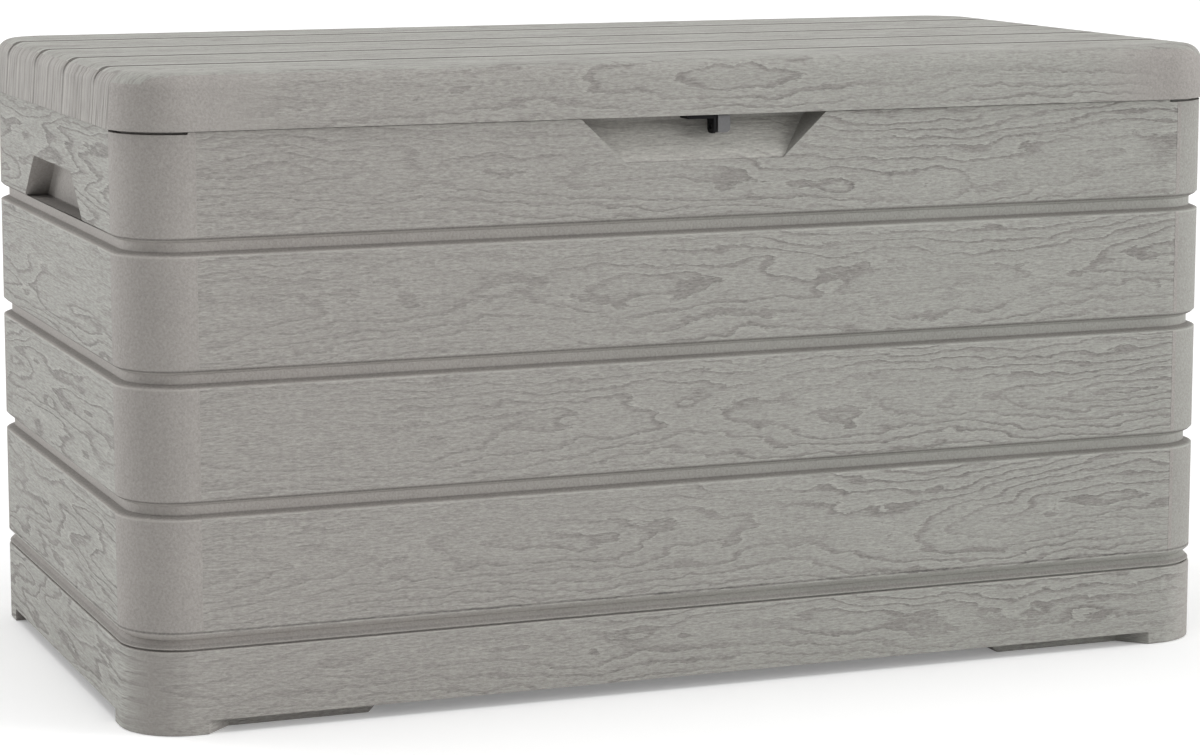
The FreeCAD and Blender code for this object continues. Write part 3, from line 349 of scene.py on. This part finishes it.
def make_grain_group():
    """Flat-sawn wood grain as a mould maker engraves it: growth lines that arch along the board."""
    tree, source, result = new_group("pressed_wood_grain", GRAIN_INPUTS, ["Height", "Tone"])
    start = plus(tree, source["Along"], source["Board"], BOARD_STEP_ALONG)
    lane = plus(tree, source["Across"], source["Board"], BOARD_STEP_ACROSS)

    def streaks(layer, count=None):
        per_run, per_rise, part, detail, roughness = GRAIN_LAYERS[layer]
        rise = calc(tree, "MULTIPLY", lane, per_rise if count is None else count)
        place = joined(tree, calc(tree, "MULTIPLY", start, per_run), rise, part)
        return about_nought(tree, noise(tree, place, 1.0, detail, roughness))

    depth = calc(tree, "MULTIPLY", calc(tree, "ADD", streaks("arch_depth"), ARCH_LEAST), source["Arch"])
    side = plus(tree, source["Across"], streaks("arch_middle"), ARCH_DRIFT)
    squares = calc(tree, "ADD", calc(tree, "MULTIPLY", side, side), calc(tree, "MULTIPLY", depth, depth))
    rings = calc(tree, "DIVIDE", calc(tree, "SQRT", squares), source["Line Spacing"])
    rings = plus(tree, rings, streaks("swirl"), source["Swirl"])
    rings = plus(tree, rings, streaks("curl"), source["Curl"])
    rings = plus(tree, rings, streaks("wiggle"), source["Wiggle"])
    rings = plus(tree, rings, streaks("ragged"), RAGGED_EDGE)
    phase = calc(tree, "FRACT", rings)
    faintness = ramp(tree, streaks("faintness"), *FAINT_RANGE, FAINTEST_LINE, 1.0)
    strength = calc(tree, "MULTIPLY", faintness, source["Strength"])
    line = calc(tree, "MULTIPLY", band(tree, phase, *LINE_BAND), strength)
    lip = calc(tree, "ADD", ramp(tree, phase, *LIP_RISE), falling(tree, phase, *LIP_FALL))
    lip = calc(tree, "MULTIPLY", lip, strength)
    fibre = streaks("fibre")
    fleck = streaks("fleck")
    bands = calc(tree, "MULTIPLY", streaks("bands", source["Band Count"]), source["Bands"])
    height = plus(tree, bands, fibre, GRAIN_HEIGHTS["fibre"])
    height = plus(tree, height, fleck, GRAIN_HEIGHTS["fleck"])
    height = plus(tree, height, line, GRAIN_HEIGHTS["line"])
    plug(tree, result["Height"], plus(tree, height, lip, GRAIN_HEIGHTS["lip"]))
    tone = plus(tree, GRAIN_TONE, fleck, GRAIN_TONES["fleck"])
    tone = plus(tree, tone, fibre, GRAIN_TONES["fibre"])
    tone = calc(tree, "ADD", tone, bands)
    tone = plus(tree, tone, line, GRAIN_TONES["line"])
    plug(tree, result["Tone"], plus(tree, tone, lip, GRAIN_TONES["lip"]))
    return tree


PEBBLE = make_pebble_group()
GRAIN = make_grain_group()

RESIN_COLOUR = (0.351, 0.330, 0.309)
PRESSED_COLOUR = (0.335, 0.332, 0.306)
PRESSED_RANGE = (0.2, 0.5)
PRESSED_LEAST = 0.3
DARKEST_TONE = -0.7
TONE_FLOOR = 0.7
TONE_REACH = 0.6
ROUGH_RANGE = (0.2, 0.8)
RESIN_ROUGHNESS = (0.72, 0.58)
RESIN_SPECULAR = 0.35
RESIN_BUMP = 0.9
RESIN_BUMP_DEPTH = 0.0007


def finish_resin(name, build, shade=1.0):
    """A matte grey resin; build gives its tone, its height and how much grain is pressed in. A shade other
    than 1 scales its colour, which paints light or shade into it.
    """
    paint = bpy.data.materials.new(name)
    paint.use_nodes = True
    tree = paint.node_tree
    shader = tree.nodes["Principled BSDF"]
    place = add_node(tree, "ShaderNodeTexCoord").outputs["Object"]
    tone, height, pressed = build(tree, place)
    share = calc(tree, "MULTIPLY", pressed, ramp(tree, tone, *PRESSED_RANGE, PRESSED_LEAST, 1.0))
    colour = add_node(tree, "ShaderNodeVectorMath", operation="SCALE")
    plug(tree, colour.inputs[0], mixed_colours(tree, share, RESIN_COLOUR, PRESSED_COLOUR))
    tone = calc(tree, "MAXIMUM", tone, DARKEST_TONE)
    lightness = calc(tree, "MULTIPLY_ADD", tone, TONE_REACH * shade, TONE_FLOOR * shade)
    plug(tree, colour.inputs["Scale"], lightness)
    plug(tree, shader.inputs["Base Color"], colour.outputs[0])
    plug(tree, shader.inputs["Roughness"], ramp(tree, tone, *ROUGH_RANGE, *RESIN_ROUGHNESS))
    shader.inputs["Specular IOR Level"].default_value = RESIN_SPECULAR
    bump = add_node(tree, "ShaderNodeBump")
    bump.inputs["Strength"].default_value = RESIN_BUMP
    bump.inputs["Distance"].default_value = RESIN_BUMP_DEPTH
    plug(tree, bump.inputs["Height"], height)
    plug(tree, shader.inputs["Normal"], bump.outputs[0])
    return paint


def pebbled(tree, place, size=PEBBLE_SIZE):
    """The tone, height and pressed share of plain moulded resin."""
    skin = add_node(tree, "ShaderNodeGroup", node_tree=PEBBLE)
    plug(tree, skin.inputs["Place"], place)
    skin.inputs["Grain Size"].default_value = size
    return skin.outputs["Tone"], skin.outputs["Height"], 0.0


SHARP_END = 0.0005
WITNESS_TONE = 0.07
WITNESS_WIDTH = (0.0003, 0.0012)
FIRST_EDGE_SEED = 10
FAR_SIDE_SEED = 5.3
# Painted light: where the lines fade the tone is darker, and it is lighter towards the other end.
FADE_PAINTED_LIGHT = 0.2
FADE_PAINTED_LIGHT_START = -0.14


def plank_resin(name, along, across, boards, fade=None, cool=1.0, witness=WITNESS_TONE, soft=SHARP_END,
                marks=None, shade=1.0, stretch=1.0, centre=0.0, **wood_settings):
    """Resin with boards pressed into it, whose grain runs along one axis.

    Boards are (first edge, pitch, half run about the centre). A fade (from, to, faint) weakens the
    lines towards one end, and also paints light: the tone is darker where the lines fade and lighter
    towards the other end. Cool is how much of the pressed colour shows without a fade. Where the
    grain ends there is a mould line, witness, and soft is how far it fades there. A stretch under 1
    draws the grain out. Marks adds to the tone and height, from the place and the way to a joint.
    """
    first, pitch, half_run = boards

    def build(tree, place):
        parts = add_node(tree, "ShaderNodeSeparateXYZ")
        plug(tree, parts.inputs[0], place)
        run = calc(tree, "SUBTRACT", parts.outputs[along], centre)
        count = calc(tree, "DIVIDE", calc(tree, "SUBTRACT", parts.outputs[across], first), pitch)
        middle = calc(tree, "MULTIPLY", calc(tree, "SUBTRACT", calc(tree, "FRACT", count), 0.5), pitch)
        wood = add_node(tree, "ShaderNodeGroup", node_tree=GRAIN)
        for label, value in wood_settings.items():
            wood.inputs[label.replace("_", " ")].default_value = value
        plug(tree, wood.inputs["Along"], calc(tree, "MULTIPLY", run, stretch))
        plug(tree, wood.inputs["Across"], middle)
        far_side = calc(tree, "GREATER_THAN", parts.outputs[X + Y + Z - along - across], 0.0)
        board = calc(tree, "ADD", calc(tree, "FLOOR", count), first * FIRST_EDGE_SEED + along)
        plug(tree, wood.inputs["Board"], plus(tree, board, far_side, FAR_SIDE_SEED))
        pressed = cool
        wood_tone = wood.outputs["Tone"]
        if fade:
            pressed = ramp(tree, run, *fade, 1.0)
            plug(tree, wood.inputs["Strength"], pressed)
            # Painted light: darker where the lines fade, lighter towards the other end.
            lift = calc(tree, "MULTIPLY_ADD", pressed, FADE_PAINTED_LIGHT, FADE_PAINTED_LIGHT_START)
            wood_tone = calc(tree, "ADD", wood_tone, lift)
        tone, height, plain = pebbled(tree, place)
        way = calc(tree, "ABSOLUTE", run)
        inside = falling(tree, way, half_run - soft, half_run + soft)
        tone = mixed_values(tree, inside, tone, wood_tone)
        height = mixed_values(tree, inside, height, wood.outputs["Height"])
        pressed = mixed_values(tree, inside, plain, pressed)
        past_end = calc(tree, "ABSOLUTE", calc(tree, "SUBTRACT", way, half_run))
        tone = plus(tree, tone, falling(tree, past_end, *WITNESS_WIDTH), -witness)
        if marks:
            joint = calc(tree, "SUBTRACT", pitch / 2, calc(tree, "ABSOLUTE", middle))
            tone, height = marks(tree, parts.outputs, joint, tone, height)
        return tone, height, pressed

    return finish_resin(name, build, shade)


PLAIN_RESIN = finish_resin("pebbled_resin", pebbled)

MERGE_REACH = 1e-6
FLAT_ANGLE = 0.4
HARD_ANGLE = 24.0


def softened(node, radius, hard_angle=HARD_ANGLE):
    """A copy of a CAD node with its triangles joined to whole faces and its hard edges rounded."""
    shape = bmesh.new()
    shape.from_mesh(frame["nodes"][node].data)
    bmesh.ops.remove_doubles(shape, verts=shape.verts, dist=MERGE_REACH)
    bmesh.ops.dissolve_limit(shape, angle_limit=math.radians(FLAT_ANGLE), verts=shape.verts,
                             edges=shape.edges)
    least = math.radians(hard_angle)
    hard = [edge for edge in shape.edges if len(edge.link_faces) == 2 and edge.calc_face_angle(0) > least]
    bmesh.ops.bevel(shape, geom=hard, offset=radius, offset_type="OFFSET", affect="EDGES",
                    segments=2, profile=0.5, material=-1, clamp_overlap=True)
    mesh = bpy.data.meshes.new(node + "_moulding")
    shape.to_mesh(mesh)
    shape.free()
    for face in mesh.polygons:
        face.use_smooth = True
    piece = bpy.data.objects.new(node + "_moulding", mesh)
    scene.collection.objects.link(piece)
    tidy = piece.modifiers.new("even_shading", "WEIGHTED_NORMAL")
    tidy.keep_sharp = True
    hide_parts(node)
    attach(piece, frame["nodes"][node]["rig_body"])
    return piece


def paint_faces(piece, board_paints, plain=PLAIN_RESIN):
    """Plain resin all over, and each (paint, test) where the test of a face's middle and normal holds."""
    mesh = piece.data
    mesh.materials.clear()
    mesh.materials.append(plain)
    for paint, holds in board_paints:
        mesh.materials.append(paint)
        slot = len(mesh.materials) - 1
        for face in mesh.polygons:
            if holds(face.center, face.normal):
                face.material_index = slot


ROUND_TO = 0.7
# Painted highlight, with some wear, along the plinth's upper edge.
PLINTH_WEAR_AND_HIGHLIGHT = 0.35
PLINTH_HIGHLIGHT_RISE = (-0.0022, -0.0004)
TRAY_EDGE = 0.0010
PLINTH_SPARE = 0.02
PLINTH_FADE = 0.03
FRONT_FADE = (-0.5, 0.35, 0.42)
SIDE_GRAIN = {"Line_Spacing": 0.0100, "Arch": 0.16, "Swirl": 6.0, "Curl": 0.4, "Wiggle": 0.3, "Bands": 0.5}
SIDE_STRETCH = 0.45


def faces_out(middle, normal, axis, half, margin, least):
    """True for a face that looks out along an axis and lies within a margin of the box's side."""
    outwards = normal[axis] * middle[axis] > 0
    return outwards and abs(normal[axis]) > least and abs(middle[axis]) > half - margin


def round_to_long_side(middle, normal):
    return faces_out(middle, normal, Y, HALF_DEPTH, CORNER_RADIUS, ROUND_TO)


def round_to_short_side(middle, normal):
    return faces_out(middle, normal, X, HALF_LENGTH, CORNER_RADIUS, ROUND_TO)


def top_edge_wear_and_highlight(tree, place, joint, tone, height):
    """The plinth's upper edge is coloured lighter: a painted highlight, with some wear."""
    low, high = PLINTH_HIGHLIGHT_RISE
    edge = ramp(tree, place[Z], PLINTH_TOP + low, PLINTH_TOP + high)
    return plus(tree, tone, edge, PLINTH_WEAR_AND_HIGHLIGHT), height


tray = softened("base_tray", TRAY_EDGE)
plinth_front = (0.0, PLINTH_TOP + PLINTH_SPARE, HALF_LENGTH - PLINTH_FADE)
plinth_end = (0.0, PLINTH_TOP + PLINTH_SPARE, HALF_DEPTH - PLINTH_FADE)
plinth_front_grain = plank_resin("plinth_front_grain", X, Z, plinth_front, FRONT_FADE, witness=0.0,
                                 soft=PLINTH_FADE, marks=top_edge_wear_and_highlight)
plinth_end_grain = plank_resin("plinth_end_grain", Y, Z, plinth_end, witness=0.0, soft=PLINTH_FADE,
                               marks=top_edge_wear_and_highlight, stretch=SIDE_STRETCH, **SIDE_GRAIN)
paint_faces(tray, [(plinth_front_grain, round_to_long_side), (plinth_end_grain, round_to_short_side)])


# Walls: four moulded panels that hook together at the corners. The front and the rear one wrap
# round the corners, and each shows four boards with grooves between them.

FIRST_BOARD = 0.0922
BOARD_PITCH = 0.13305
GRAIN_MARGIN = 0.0727
GRAIN_CENTRE = 0.009
WALL_EDGE = 0.0008
SKIN = 0.0012
SQUARE_ON = 0.98
GROOVE_FOOT = 0.2220
GROOVE_REACH = 0.01
RECESS_BOTTOM = 0.563
RECESS_HALF = 0.142
RIM_MARGIN = 0.03
RIM_FORWARDS = -0.3
RIM_SIDEWAYS = 0.25
FLOOR_FORWARDS = -0.4
FLOOR_UPWARDS = 0.2
# Painted shade: a dark line along the foot of the recess's floor.
RECESS_FOOT = (0.5656, 0.5668)
RECESS_FOOT_SHADE = -0.6
RECESS_FOOT_HEIGHT = -1.0
# Painted light: the recess's floor is coloured lighter than the boards, against the shade under the lid.
RECESS_PAINTED_LIGHT = 1.35
# Painted light: the recess's slanting ends are coloured lighter than plain resin.
RIM_PAINTED_LIGHT = 1.2

# The painted light and shade of a groove, as bands over its foot: where each starts, is full,
# fades and is gone, and its change of tone. They are a painted highlight with some wear on the edge
# below, painted light on the floor, painted shade on the ledge and painted shade under the board above.

GROOVE_LIGHT_AND_SHADE = (
    (-0.0024, -0.0010, 0.0001, 0.0008, 0.32),
    (0.0036, 0.0048, 0.0146, 0.0166, 0.12),
    (0.0008, 0.0016, 0.0036, 0.0048, -0.30),
    (0.0158, 0.0166, 0.0176, 0.0188, -0.65),
)


def groove_light_and_shade(tree, place, joint, tone, height):
    """Painted highlight with some wear on each board's upper edge, painted light on the groove's floor,
    and painted shade on the ledge and under the edge above.
    """
    count = calc(tree, "DIVIDE", calc(tree, "SUBTRACT", place[Z], GROOVE_FOOT - GROOVE_REACH), BOARD_PITCH)
    rise = calc(tree, "MULTIPLY_ADD", calc(tree, "FRACT", count), BOARD_PITCH, -GROOVE_REACH)
    for *edges, change in GROOVE_LIGHT_AND_SHADE:
        tone = plus(tree, tone, band(tree, rise, *edges), change)
    return tone, height


def wall_skin(tree, place):
    """The pebbled skin of the walls, with the painted light and shade of their grooves."""
    parts = add_node(tree, "ShaderNodeSeparateXYZ")
    plug(tree, parts.inputs[0], place)
    tone, height = pebbled(tree, place)[:2]
    tone, height = groove_light_and_shade(tree, parts.outputs, 0.0, tone, height)
    return tone, height, ramp(tree, parts.outputs[X], *FRONT_FADE[:2])


def recess_foot_shade(tree, place, joint, tone, height):
    """Painted shade: a dark line where the recess's floor runs out into the board."""
    foot = falling(tree, place[Z], *RECESS_FOOT)
    return plus(tree, tone, foot, RECESS_FOOT_SHADE), plus(tree, height, foot, RECESS_FOOT_HEIGHT)


def on_long_side(middle, normal):
    return faces_out(middle, normal, Y, HALF_DEPTH, SKIN, SQUARE_ON)


def on_short_side(middle, normal):
    return faces_out(middle, normal, X, HALF_LENGTH, SKIN, SQUARE_ON)


def in_recess(middle):
    return abs(middle.x) < RECESS_HALF and middle.z > RECESS_BOTTOM and middle.y < 0


def on_recess_rim(middle, normal):
    """The recess's slanting ends, which look forwards and sideways."""
    near_face = middle.y < -HALF_DEPTH + RIM_MARGIN
    slanting = normal.y < RIM_FORWARDS and abs(normal.x) > RIM_SIDEWAYS
    return in_recess(middle) and near_face and slanting


def on_recess_floor(middle, normal):
    """The recess's slanting floor, which looks forwards and up."""
    return in_recess(middle) and normal.y < FLOOR_FORWARDS and normal.z > FLOOR_UPWARDS


front_board = (FIRST_BOARD, BOARD_PITCH, HALF_LENGTH - GRAIN_MARGIN + GRAIN_CENTRE)
side_board = (FIRST_BOARD, BOARD_PITCH, HALF_DEPTH - CORNER_RADIUS)
# The walls' resin and the board grain carry the grooves' painted highlight, painted light and painted
# shade.
wall_resin = finish_resin("wall_resin", wall_skin)
front_grain = plank_resin("front_board_grain", X, Z, front_board, FRONT_FADE, marks=groove_light_and_shade,
                          centre=GRAIN_CENTRE)
# Painted light: the recess's floor is coloured lighter than the boards, with painted shade along its foot.
recess_lit_grain = plank_resin("recess_floor_lit_grain", X, Z, front_board, FRONT_FADE, marks=recess_foot_shade,
                           shade=RECESS_PAINTED_LIGHT)
# Painted light: the recess's slanting ends are coloured lighter than plain resin.
rim_lit_resin = finish_resin("recess_rim_lit_resin", pebbled, RIM_PAINTED_LIGHT)
side_grain = plank_resin("side_board_grain", Y, Z, side_board, marks=groove_light_and_shade, stretch=SIDE_STRETCH,
                         **SIDE_GRAIN)
wall_paints = [
    (front_grain, on_long_side),
    (side_grain, on_short_side),
    (recess_lit_grain, on_recess_floor),
    (rim_lit_resin, on_recess_rim),
]
for node in ("front_panel", "rear_panel", "left_side_panel", "right_side_panel"):
    paint_faces(softened(node, WALL_EDGE), wall_paints, wall_resin)


# Lid: a thin shell with five planks on top and a skirt that comes down over the rim. A flat
# liner inside it stiffens the planks, and soft bumpers quiet it where it meets the walls.

LID_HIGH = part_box("lid_shell")[1]
LID_END = LID_HIGH.x
LID_FACE = LID_HIGH.y
LID_TOP = LID_HIGH.z
LID_EDGE = 0.0006
LID_HARD_ANGLE = 40.0
TOP_MARGIN = 0.03
TOP_TURN = 0.35
SKIRT_MARGIN = 0.02
SKIRT_TURN = 0.6
END_TURN = 0.12
PLANK_PITCH = 0.140
FIRST_PLANK = -2.5 * PLANK_PITCH
PLANK_GRAIN = {"Line_Spacing": 0.011, "Arch": 0.16, "Swirl": 2.4, "Bands": 0.9, "Band_Count": 30.0,
               "Strength": 0.6}
# Painted light: the planks on top are coloured a little lighter.
PLANK_PAINTED_LIGHT = 1.05
# Painted shade along each joint between the planks on top, with a painted highlight on each side.
PLANK_JOINT_SHADING = {"dark_half": 0.0066, "light_half": 0.016, "dark": 1.2, "light": 0.35}
END_GRAIN = {"Line_Spacing": 0.012, "Arch": 0.03, "Swirl": 1.0, "Bands": 1.1}
END_STRETCH = 0.25
END_COOL = 0.3
# The same painted shade and highlights along the joints on the lid's ends.
END_JOINT_SHADING = {"dark_half": 0.0016, "light_half": 0.008, "dark": 0.4, "light": 0.12}
SKIRT_BOARD = (0.60, 0.10, LID_END - 2 * CORNER_RADIUS)
SKIRT_SOFT = 0.06
SKIRT_SWIRL = 1.5
JOINT_SOFT = 0.0012
HIGHLIGHT_SOFT = 0.004
JOINT_HEIGHT = -1.0
# Painted shade: the darker mouth where a joint runs over the lid's end.
MOUTH_RUN = (-0.026, -0.016)
MOUTH_RISE = (-0.022, -0.012)
MOUTH_HALF = (0.004, 0.013)
MOUTH_SHADE = -0.4
MOUTH_HEIGHT = -1.5


def on_lid_top(middle, normal):
    return normal.z > TOP_TURN and middle.z > LID_TOP - TOP_MARGIN


def on_lid_front(middle, normal):
    return faces_out(middle, normal, Y, LID_FACE, SKIRT_MARGIN, SKIRT_TURN)


def on_lid_end(middle, normal):
    return abs(normal.y) < END_TURN and faces_out(middle, normal, X, LID_END, SKIRT_MARGIN, SKIRT_TURN)


def plank_joint_light_and_shade(dark_half, light_half, dark, light):
    """Painted light and shade along the joints between planks: a line of painted shade between two painted
    highlights, and painted shade in a darker mouth.
    """

    def marks(tree, place, joint, tone, height):
        groove = falling(tree, joint, dark_half, dark_half + JOINT_SOFT)
        edges = band(tree, joint, dark_half, dark_half + JOINT_SOFT, light_half, light_half + HIGHLIGHT_SOFT)
        way = calc(tree, "ABSOLUTE", place[X])
        near_end = ramp(tree, way, *[LID_END + step for step in MOUTH_RUN])
        near_top = ramp(tree, place[Z], *[LID_TOP + step for step in MOUTH_RISE])
        mouth = calc(tree, "MULTIPLY", near_end, near_top)
        mouth = calc(tree, "MULTIPLY", mouth, falling(tree, joint, *MOUTH_HALF))
        tone = plus(tree, tone, groove, -dark)
        tone = plus(tree, tone, edges, light)
        height = plus(tree, height, groove, JOINT_HEIGHT)
        return plus(tree, tone, mouth, MOUTH_SHADE), plus(tree, height, mouth, MOUTH_HEIGHT)

    return marks


lid = softened("lid_shell", LID_EDGE, LID_HARD_ANGLE)
# The lid's top carries painted light, and painted shade and highlights along its joints.
lid_plank_grain = plank_resin("lid_plank_grain", X, Y, (FIRST_PLANK, PLANK_PITCH, LID_END),
                              marks=plank_joint_light_and_shade(**PLANK_JOINT_SHADING), shade=PLANK_PAINTED_LIGHT, **PLANK_GRAIN)
lid_front_grain = plank_resin("lid_front_grain", X, Z, SKIRT_BOARD, FRONT_FADE, witness=0.0,
                              soft=SKIRT_SOFT, Swirl=SKIRT_SWIRL)
lid_end_grain = plank_resin("lid_end_grain", Z, Y, (FIRST_PLANK, PLANK_PITCH, LID_TOP), cool=END_COOL,
                            marks=plank_joint_light_and_shade(**END_JOINT_SHADING), stretch=END_STRETCH, **END_GRAIN)
lid_paints = [(lid_plank_grain, on_lid_top), (lid_front_grain, on_lid_front), (lid_end_grain, on_lid_end)]
paint_faces(lid, lid_paints)
liner_mesh = frame["nodes"]["lid_liner"].data
liner_mesh.materials.clear()
liner_mesh.materials.append(PLAIN_RESIN)


# Fittings: black and dark grey plastic lugs and hinge leaves, zinc-plated pins and screws, and
# rubber bumpers. Each has the fine skin of its moulding or plating, of its own size and depth.

FITTINGS = {
    "black_plastic": {"name": "black_moulding", "colour": (0.008, 0.008, 0.009), "roughness": 0.5,
                      "metallic": 0.0, "specular": 0.12, "grain": 0.0009, "depth": 0.0001},
    "dark_grey_plastic": {"name": "dark_grey_moulding", "colour": (0.150, 0.150, 0.152), "roughness": 0.45,
                          "metallic": 0.0, "specular": 0.4, "grain": 0.0009, "depth": 0.0001},
    "soft_rubber": {"name": "bumper_rubber", "colour": (0.03, 0.03, 0.03), "roughness": 0.8,
                    "metallic": 0.0, "specular": 0.3, "grain": 0.0007, "depth": 0.0001},
    "steel": {"name": "zinc_plate", "colour": (0.62, 0.62, 0.63), "roughness": 0.32,
              "metallic": 1.0, "specular": 0.5, "grain": 0.0012, "depth": 0.00005},
}
DARKER = 0.7
LIGHTER = 1.3
ROUGHER = 0.06


def plain_finish(name, colour, roughness, metallic, specular, grain, depth):
    """A moulded or plated finish with a fine skin and a slow change of tone."""
    paint = bpy.data.materials.new(name)
    paint.use_nodes = True
    tree = paint.node_tree
    shader = tree.nodes["Principled BSDF"]
    place = add_node(tree, "ShaderNodeTexCoord").outputs["Object"]
    tone, height = pebbled(tree, place, grain)[:2]
    dark = [part * DARKER for part in colour]
    light = [part * LIGHTER for part in colour]
    plug(tree, shader.inputs["Base Color"], mixed_colours(tree, tone, dark, light))
    rough = ramp(tree, tone, *ROUGH_RANGE, roughness + ROUGHER, roughness - ROUGHER)
    plug(tree, shader.inputs["Roughness"], rough)
    shader.inputs["Metallic"].default_value = metallic
    shader.inputs["Specular IOR Level"].default_value = specular
    bump = add_node(tree, "ShaderNodeBump")
    bump.inputs["Distance"].default_value = depth
    plug(tree, bump.inputs["Height"], height)
    plug(tree, shader.inputs["Normal"], bump.outputs[0])
    return paint


finishes = {slot: plain_finish(**facts) for slot, facts in FITTINGS.items()}
for row in frame["record"]["subparts"]:
    if row["material_slot"] in finishes:
        mesh = frame["nodes"][row["node"]].data
        mesh.materials.clear()
        mesh.materials.append(finishes[row["material_slot"]])
